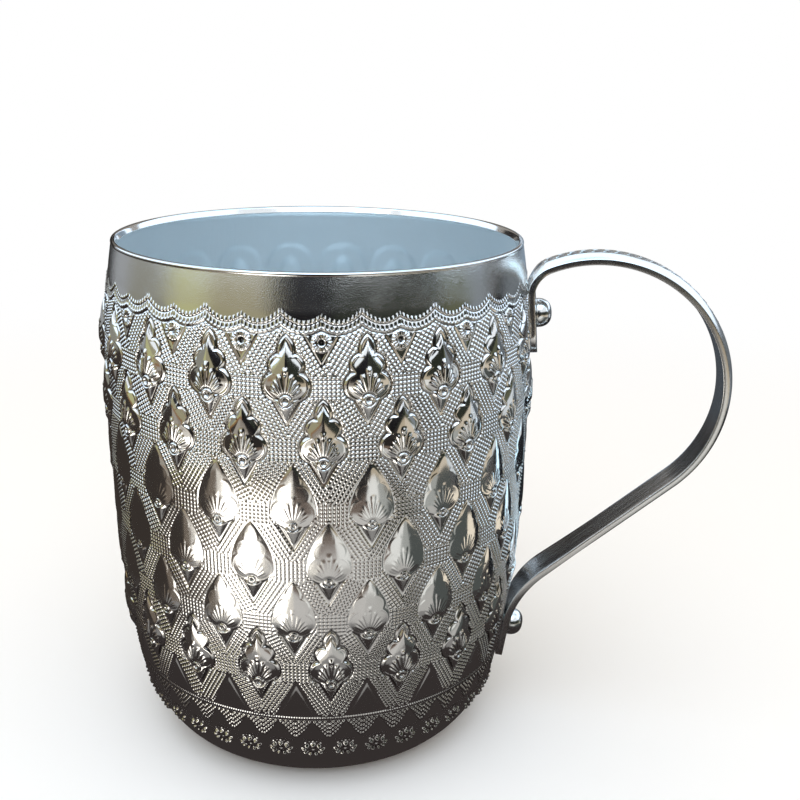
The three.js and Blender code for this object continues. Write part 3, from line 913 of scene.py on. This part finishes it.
def strap_section(width, edge, crown, along, chasing):
    """One ring round the strap, across it and out from its flat face, and how deep it is chased there."""
    half = width / 2
    radius = min(EDGE_RADIUS, half / 2)
    flat = np.linspace(-half + radius, half - radius, FLAT_STEPS + 1)
    swing = np.linspace(-math.pi / 2, 0, EDGE_STEPS + 1)
    corner = (half - radius, radius) + radius * at_angle(swing)
    top_corner = (half - radius, edge - radius) + radius * at_angle(swing + math.pi / 2)
    face = np.linspace(half - radius, -half + radius, FACE_STEPS + 1)
    dome = edge + crown * (1 - np.abs(face / (half - radius)) ** DOME_POWER)
    chased = chasing * strap_chasing(along, face)
    mirror = np.array((-1, 1))
    ring = np.concatenate([
        np.stack([flat, np.zeros_like(flat)], axis=1), corner[1:], top_corner[:-1],
        np.stack([face, dome + chased], axis=1), top_corner[::-1][1:] * mirror, corner[::-1][:-1] * mirror])
    cut_depth = np.zeros(len(ring))
    start = len(flat) + len(corner) + len(top_corner) - 2
    cut_depth[start:start + len(face)] = -chased
    return ring, cut_depth


def strap_stations(length):
    """Lengths along the strap for its rings, close together round the noses of its tabs."""
    nose = TAB_NOSE_RADIUS * (1 - np.cos(np.linspace(0, math.pi / 2, NOSE_STEPS + 1)[1:]))
    middle = np.linspace(nose[-1], length - nose[-1], int(length / STRAP_STEP))
    return np.concatenate([nose, middle[1:-1], (length - nose)[::-1]])


def handle_strap():
    """The strap is swept along its path. It is full and domed between its tabs, which lie on the wall."""
    path, (upper_tab, upper_bend, _, bow, lower_run, lower_bend, _) = handle_path()
    run = lengths_along(path)
    ways = ways_along(run, path)
    rings, depths = [], []
    for along in strap_stations(run[-1]):
        point = points_at(along, run, path)
        ahead = unit(points_at(along, run, ways))
        out = left_of(ahead)
        full = fade(upper_tab, upper_bend, along)
        full = full * fade((lower_run + lower_bend) / 2, (bow + lower_run) / 2, along)
        from_end = min(along, run[-1] - along, TAB_NOSE_RADIUS) / TAB_NOSE_RADIUS
        width = (TAB_WIDTH + (STRAP_WIDTH - TAB_WIDTH) * full) * math.sqrt(1 - (1 - from_end) ** 2)
        edge = TAB_THICKNESS + (STRAP_EDGE - TAB_THICKNESS) * full
        section, depth = strap_section(width, edge, STRAP_CROWN * full, along, CHASING_DEPTH * full)
        depths.append(depth)
        towards_wall = (1 - full) * (1 if along < run[-1] / 2 else -1)
        section[:, 1] += towards_wall * section[:, 0] ** 2 / (2 * BELLY_RADIUS)
        spots = point + section[:, 1:] * out
        rings.append(np.stack([spots[:, 0], section[:, 0], spots[:, 1]], axis=1))
    strap = loft("chased_strap", [rings])
    # The cuts are darker by their depth: partly oxide, partly painted shade
    point_values(strap, "oxide_and_shade", fade(*OXIDE_AND_SHADE_DEPTHS, np.concatenate(depths)))
    return strap


# Rivets
RIVET_SIDES = 64
HEAD_STEPS = 20
HEAD_SQUARENESS = 2.5


def rivet(name, seat):
    """A button head on its tab, the shank through tab and wall, and a peened tail inside the cup."""
    face = SEAT_GAP + TAB_THICKNESS + HEAD_GAP
    tail_top = -WALL_THICKNESS
    rounding = np.linspace(0, math.pi / 2, HEAD_STEPS + 1)[:-1]
    dome = at_angle(rounding) ** (2 / HEAD_SQUARENESS)
    head = (0, face) + dome * (RIVET_HEAD_RADIUS, RIVET_HEAD_HEIGHT)
    tail = (0, tail_top) + dome * (RIVET_TAIL_RADIUS, -RIVET_TAIL_HEIGHT)
    shank = np.array([(RIVET_SHANK_RADIUS, tail_top), (RIVET_SHANK_RADIUS, face)])
    profile = np.concatenate([tail[::-1], shank, head])
    angles = np.linspace(0, 2 * math.pi, RIVET_SIDES, endpoint=False)
    point, out, up = (np.array((v[0], 0, v[1])) for v in seat)
    side = np.cross(out, up)
    rings = []
    for radius, distance in profile:
        ring = radius * (np.cos(angles)[:, None] * up - np.sin(angles)[:, None] * side)
        rings.append(point + distance * out + ring)
    return loft(name, [rings])


# Materials

def add(tree, kind, values=None, links=None, **options):
    """Adds a shader node with its options, its sockets' values and the links into it. A link given as a node
    starts at that node's first output."""
    made = tree.nodes.new("ShaderNode" + kind)
    for name, value in options.items():
        setattr(made, name, value)
    for name, value in (values or {}).items():
        made.inputs[name].default_value = value
    for name, source in (links or {}).items():
        socket = source.outputs[0] if isinstance(source, bpy.types.Node) else source
        tree.links.new(socket, made.inputs[name])
    return made


def empty_tree(owner):
    owner.use_nodes = True
    owner.node_tree.nodes.clear()
    return owner.node_tree


def new_material(name):
    material = bpy.data.materials.new(name)
    return material, empty_tree(material)


# Size and depth of surface marks, in millimetres. Drawing and rolling lines are drawn coarser than real ones,
# which are too fine to show
ORANGE_PEEL = 0.18
PEEL_DEPTH = 0.022
DRAW_LINE = 0.9
DRAW_DEPTH = 0.03
DRAW_STRETCH = (1, 1, 0.02)
WORN_STREAKS = 0.35
HANDLING_MARK = 6
ROLL_LINE = 0.4
ROLL_DEPTH = 0.02
ROLL_STRETCH = (0.04, 1, 0.04)
HAMMER_MARK = 1.2
HAMMER_DEPTH = 0.06
FAINT = 0.5

# Roughness from the smooth to the dull spots of each metal, and what wear, satin and the inside add to it
NOISE_SPREAD = {"From Min": 0.3, "From Max": 0.7}
PRESSED_POLISH = {"To Min": 0.08, "To Max": 0.14}
ROLLED_POLISH = {"To Min": 0.14, "To Max": 0.24}
RIVET_POLISH = {"To Min": 0.1, "To Max": 0.2}
WORN_DULLNESS = 0.07
SATIN_DULLNESS = 0.08
INSIDE_DULLNESS = 0.28


def pressed_aluminium():
    """Sheet aluminium, drawn, pressed and buffed: mirror bosses over a bright ground whose lines hold a
    little dark oxide and painted shade, a rim top darkened with painted shade, a satin orange-peel
    band under the rim, and a duller inside, tinted a little cool as a painted reflection of the pale sky,
    with fine upright drawing lines."""
    material, tree = new_material("pressed_buffed_aluminium")
    oxide_and_shade, satin, inside, worn = (add(tree, "Attribute", attribute_name=name).outputs["Fac"]
                                   for name in ("oxide_and_shade", "satin", "inside", "worn"))
    place = add(tree, "TexCoord").outputs["Object"]
    marks = add(tree, "TexNoise", {"Scale": 1 / (HANDLING_MARK * MM), "Detail": 3}, {"Vector": place})
    peel = add(tree, "TexNoise", {"Scale": 1 / (ORANGE_PEEL * MM), "Detail": 2}, {"Vector": place})
    stretch = add(tree, "Mapping", {"Scale": DRAW_STRETCH}, {"Vector": place})
    lines = add(tree, "TexNoise", {"Scale": 1 / (DRAW_LINE * MM), "Detail": 2}, {"Vector": stretch})
    # Darker tint, partly oxide and partly painted shade, in the hollows and on the rim top
    tint = add(tree, "Mix", {"A": linear("#F3F3F2"), "B": linear("#8A8783")}, {"Factor": oxide_and_shade},
               data_type="RGBA")
    # Painted reflection: the inside is tinted a little blue, as a stand-in for the pale sky that it reflects
    sky_tinted = add(tree, "Mix", {"B": linear("#F0F3F4")},
                 {"A": tint.outputs["Result"], "Factor": inside}, data_type="RGBA")
    rough = add(tree, "MapRange", {**NOISE_SPREAD, **PRESSED_POLISH}, {"Value": marks})
    for where, more in ((worn, WORN_DULLNESS), (satin, SATIN_DULLNESS), (inside, INSIDE_DULLNESS)):
        rough = add(tree, "Math", {1: more}, {0: where, 2: rough}, operation="MULTIPLY_ADD")
    streaks = add(tree, "Math", {1: WORN_STREAKS}, {0: worn, 2: inside}, operation="MULTIPLY_ADD")
    grain = add(tree, "Bump", {"Distance": PEEL_DEPTH * MM}, {"Height": peel, "Strength": satin})
    drawn = add(tree, "Bump", {"Distance": DRAW_DEPTH * MM},
                {"Height": lines, "Strength": streaks, "Normal": grain})
    shader = add(tree, "BsdfPrincipled", {"Metallic": 1},
                 {"Base Color": sky_tinted.outputs["Result"], "Roughness": rough, "Normal": drawn})
    add(tree, "OutputMaterial", links={"Surface": shader})
    return material


def rolled_aluminium():
    """Rolled aluminium strip, chased on its domed side: bright, with faint rolling lines along it and a
    little dark oxide and painted shade in the chased cuts."""
    material, tree = new_material("rolled_chased_aluminium")
    place = add(tree, "TexCoord").outputs["Object"]
    stretch = add(tree, "Mapping", {"Scale": ROLL_STRETCH}, {"Vector": place})
    lines = add(tree, "TexNoise", {"Scale": 1 / (ROLL_LINE * MM), "Detail": 3}, {"Vector": stretch})
    rough = add(tree, "MapRange", {**NOISE_SPREAD, **ROLLED_POLISH}, {"Value": lines})
    oxide_and_shade = add(tree, "Attribute", attribute_name="oxide_and_shade").outputs["Fac"]
    # Darker tint in the chased cuts, partly oxide and partly painted shade
    tint = add(tree, "Mix", {"A": linear("#EEEDEB"), "B": linear("#6B645D")}, {"Factor": oxide_and_shade},
               data_type="RGBA")
    bump = add(tree, "Bump", {"Distance": ROLL_DEPTH * MM, "Strength": FAINT}, {"Height": lines})
    shader = add(tree, "BsdfPrincipled", {"Metallic": 1},
                 {"Base Color": tint.outputs["Result"], "Roughness": rough, "Normal": bump})
    add(tree, "OutputMaterial", links={"Surface": shader})
    return material


def rivet_aluminium():
    """Aluminium rivet wire, headed cold and burnished by the set: bright, with faint hammer marks."""
    material, tree = new_material("headed_rivet_aluminium")
    place = add(tree, "TexCoord").outputs["Object"]
    marks = add(tree, "TexNoise", {"Scale": 1 / (HAMMER_MARK * MM), "Detail": 2}, {"Vector": place})
    rough = add(tree, "MapRange", {**NOISE_SPREAD, **RIVET_POLISH}, {"Value": marks})
    bump = add(tree, "Bump", {"Distance": HAMMER_DEPTH * MM, "Strength": FAINT}, {"Height": marks})
    shader = add(tree, "BsdfPrincipled", {"Metallic": 1, "Base Color": linear("#EDEFEF")},
                 {"Roughness": rough, "Normal": bump})
    add(tree, "OutputMaterial", links={"Surface": shader})
    return material


# Stage, in metres: a pale floor, soft light and glowing cards that only the metal's reflections see.
# A card runs between two angles off the camera. Wall cards then have two elevations, all in degrees, and
# floor cards two distances from the cup's axis, in millimetres. Sky cards are rings between two radii
FLOOR_RADIUS = 0.6
FLOOR_SIDES = 96
FLOOR_FADE = (0.1, 0.42)
SOFT_LIGHT = 0.88
CARD_RADIUS = 0.7
CARD_SEGMENT = 4
CARD_LIFT = 0.0004
WALL_CARDS = (
    (-180, -140, -2, 18, "#2B2826"), (-140, -116, -2, 15, "#9A9DA0"), (-116, -82, -2, 15, "#8A897F"),
    (-82, -24, -2, 2, "#8A6746"), (-82, -58, 2, 17, "#B4B386"),
    (-58, -24, 2, 19, "#9A9478"), (-24, 6, -2, 33, "#151314"), (6, 64, -2, 21, "#272A22"),
    (64, 82, -2, 16, "#5A5C48"), (82, 96, -2, 15, "#7E858B"), (96, 110, -2, 15, "#5C5A58"),
    (110, 140, -2, 15, "#6A7075"), (140, 180, -2, 15, "#8595A5"), (140, 220, 18, 42, "#9A958F"))
# Painted shade and light on the floor: the dark cards nearest the cup stand in for its own shadow, and the
# pale cards in front for a sunlit patch of ground, as the lower wall reflects them
FLOOR_CARDS = (
    (-180, 180, 0, 74, "#363130"), (-180, -66, 74, 92, "#3E3936"), (-66, 45, 74, 92, "#848280"),
    (45, 140, 74, 92, "#3E3C3B"), (-180, -66, 92, 600, "#38322E"), (-66, -48, 92, 300, "#6E6358"),
    (-66, -48, 300, 600, "#A09A90"), (-48, -12, 92, 340, "#D8D2C8"), (-48, -12, 340, 600, "#8A8278"),
    (-12, 14, 92, 150, "#C4C1BD"), (-12, 14, 150, 210, "#6B5B50"), (-12, 14, 210, 600, "#2A2624"),
    (14, 45, 92, 130, "#B4B2AE"), (14, 32, 130, 300, "#E6E6E2"), (32, 45, 130, 300, "#A2A4A0"),
    (14, 45, 300, 600, "#B9AB94"), (45, 74, 92, 260, "#4E5250"), (74, 90, 92, 118, "#3E3C3B"),
    (74, 90, 118, 175, "#EFE3CF"), (74, 90, 175, 260, "#4A4A4A"), (45, 74, 260, 600, "#CFC3B0"),
    (74, 110, 260, 600, "#D2D8DC"), (90, 140, 92, 260, "#222326"), (110, 140, 260, 600, "#5A6066"),
    (140, 180, 74, 120, "#6C747C"), (140, 180, 120, 600, "#454A50"))
SKY_CARDS = ((0.001, 0.3, "#DDF0FA", 0.95), (0.3, CARD_RADIUS, "#C0E0F5", 2.25))
HORIZON_CARDS = ((-60, 60, "#F2F7FC", 1), (60, 300, "#D6E6F7", 1.7))
HORIZON_LOW = 0.1
HORIZON_GAP = 0.02
SKY_EDGE_HEIGHT = 0.8
SKY_MIDDLE_HEIGHT = 0.95


def flat_mesh(name, points, faces):
    mesh = bpy.data.meshes.new(name)
    mesh.from_pydata(points, [], faces)
    made = new_object(name, mesh)
    return made


def glowing_panel(colour, strength):
    """A card that glows with its own colour: at a strength of 1, the set's plain light level, it looks as a
    matt card of that colour would, and brighter above 1.
    """
    material, tree = new_material("glowing_card")
    glow = add(tree, "Emission", {"Color": linear(colour), "Strength": strength})
    add(tree, "OutputMaterial", links={"Surface": glow})
    return material


def card(name, start, end, edges, colour, strength=1):
    """A strip bent about the cup between two angles off the camera. Its edges are (radius, height) pairs."""
    count = max(2, int(abs(end - start) / CARD_SEGMENT) + 1)
    angles = np.radians(CAMERA_AZIMUTH + np.linspace(start, end, count))
    points = [(r * math.cos(a), r * math.sin(a), z) for a in angles for r, z in edges]
    faces = [(2 * k, 2 * k + 1, 2 * k + 3, 2 * k + 2) for k in range(count - 1)]
    made = flat_mesh(name, points, faces)
    made.data.materials.append(glowing_panel(colour, strength))
    made.visible_camera = False
    made.visible_diffuse = False
    made.visible_shadow = False


def make_cards():
    for k, (start, end, low, top, colour) in enumerate(WALL_CARDS):
        edges = [(CARD_RADIUS, CARD_RADIUS * math.tan(math.radians(a))) for a in (low, top)]
        card(f"wall_card_{k}", start, end, edges, colour)
    for k, (start, end, near, far, colour) in enumerate(FLOOR_CARDS):
        card(f"floor_card_{k}", start, end, [(r * MM, CARD_LIFT) for r in (near, far)], colour)
    for start, end, colour, strength in HORIZON_CARDS:
        edges = [(CARD_RADIUS + HORIZON_GAP, z) for z in (HORIZON_LOW, SKY_EDGE_HEIGHT)]
        card(f"horizon_card_{end}", start, end, edges, colour, strength)
    slope = (SKY_EDGE_HEIGHT - SKY_MIDDLE_HEIGHT) / CARD_RADIUS
    for near, far, colour, strength in SKY_CARDS:
        edges = [(r, SKY_MIDDLE_HEIGHT + slope * r) for r in (near, far)]
        card(f"sky_card_{far}", -180, 180, edges, colour, strength)


def seen_directly(tree):
    """1 for what the camera, a mirror or glass shows, 0 for soft light."""
    rays = add(tree, "LightPath").outputs
    seen = rays["Is Camera Ray"]
    for kind in ("Is Glossy Ray", "Is Transmission Ray"):
        seen = add(tree, "Math", links={0: seen, 1: rays[kind]}, operation="MAXIMUM")
    return seen


def make_floor():
    """Pale paper that runs out into the white all round it."""
    angles = np.linspace(0, 2 * math.pi, FLOOR_SIDES, endpoint=False)
    points = [(FLOOR_RADIUS * math.cos(a), FLOOR_RADIUS * math.sin(a), 0) for a in angles]
    floor = flat_mesh("floor", points, [tuple(range(len(angles)))])
    material, tree = new_material("pale_paper_floor")
    place = add(tree, "TexCoord").outputs["Object"]
    reach = add(tree, "VectorMath", links={0: place}, operation="LENGTH")
    whiter = add(tree, "MapRange", {"From Min": FLOOR_FADE[0], "From Max": FLOOR_FADE[1]},
                 {"Value": reach.outputs["Value"]}, interpolation_type="SMOOTHSTEP")
    share = add(tree, "Math", links={0: whiter, 1: seen_directly(tree)}, operation="MULTIPLY")
    paper = add(tree, "BsdfDiffuse", {"Color": linear("#FAFAF9")})
    white = add(tree, "Emission", {"Color": linear("#FFFFFF"), "Strength": 1})
    mixed = add(tree, "MixShader", links={0: share, 1: paper, 2: white})
    add(tree, "OutputMaterial", links={"Surface": mixed})
    floor.data.materials.append(material)


def make_world():
    """Even white all round for the camera and for reflections, and soft light at a plain level."""
    world = bpy.data.worlds.new("studio")
    tree = empty_tree(world)
    soft = add(tree, "Background", {"Color": linear("#FFF5E8"), "Strength": SOFT_LIGHT})
    white = add(tree, "Background", {"Color": linear("#FFFFFF"), "Strength": 1})
    mixed = add(tree, "MixShader", links={0: seen_directly(tree), 1: soft, 2: white})
    add(tree, "OutputWorld", links={"Surface": mixed})
    bpy.context.scene.world = world


# Softbox above the camera and lit patch on the floor, in metres and degrees off the camera
SOFTBOX_SIZE = (0.9, 1)
SOFTBOX_DISTANCE = 0.8
SOFTBOX_TURN = -12
SOFTBOX_ELEVATION = 60
SOFTBOX_RADIANCE = 1.6
PATCH_SIZE = (0.07, 0.14)
PATCH_REACH = 0.17
PATCH_LIFT = 0.002
PATCH_TURN = -30
PATCH_RADIANCE = 2.2


def make_lamp(name, size, radiance, colour, place, back):
    """A flat lamp whose back is towards the direction given."""
    data = bpy.data.lights.new(name, "AREA")
    data.shape = "RECTANGLE"
    data.size, data.size_y = size
    data.energy = radiance * math.pi * size[0] * size[1]
    data.color = linear(colour)[:3]
    lamp = new_object(name, data)
    lamp.location = place
    lamp.rotation_mode = "QUATERNION"
    lamp.rotation_quaternion = back.to_track_quat("Z", "Y")


def off_camera(turn, elevation=0):
    """The way out from the cup's axis at a turn off the camera and an elevation, in degrees."""
    turn, rise = math.radians(CAMERA_AZIMUTH + turn), math.radians(elevation)
    return Vector((math.cos(turn) * math.cos(rise), math.sin(turn) * math.cos(rise), math.sin(rise)))


def make_lights():
    """A wide softbox above the camera, a little to its left, and a lit patch on the floor in front, which
    shows in the worn rows of the relief."""
    away = off_camera(SOFTBOX_TURN, SOFTBOX_ELEVATION)
    place = Vector((0, 0, CUP_HEIGHT * MM / 2)) + SOFTBOX_DISTANCE * away
    make_lamp("softbox", SOFTBOX_SIZE, SOFTBOX_RADIANCE, "#CFE4FB", place, away)
    place = PATCH_REACH * off_camera(PATCH_TURN) + Vector((0, 0, PATCH_LIFT))
    make_lamp("lit_patch", PATCH_SIZE, PATCH_RADIANCE, "#FFFCF6", place, Vector((0, 0, -1)))


# Assembly: light is followed deep enough to leave the cup again after many bounces inside it
METAL_BOUNCES = 14


def dress(piece, material, node):
    piece.data.materials.append(material)
    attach(piece, "root")
    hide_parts(node)


def main():
    scene = bpy.context.scene
    scene.view_settings.view_transform = "Standard"
    scene.cycles.max_bounces = METAL_BOUNCES
    scene.cycles.glossy_bounces = METAL_BOUNCES
    make_camera()
    dress(cup_body(), pressed_aluminium(), "cup_body")
    dress(handle_strap(), rolled_aluminium(), "handle_strap")
    bright = rivet_aluminium()
    dress(rivet("upper_button_rivet", UPPER_SEAT), bright, "upper_rivet")
    dress(rivet("lower_button_rivet", LOWER_SEAT), bright, "lower_rivet")
    make_floor()
    make_cards()
    make_world()
    make_lights()


main()
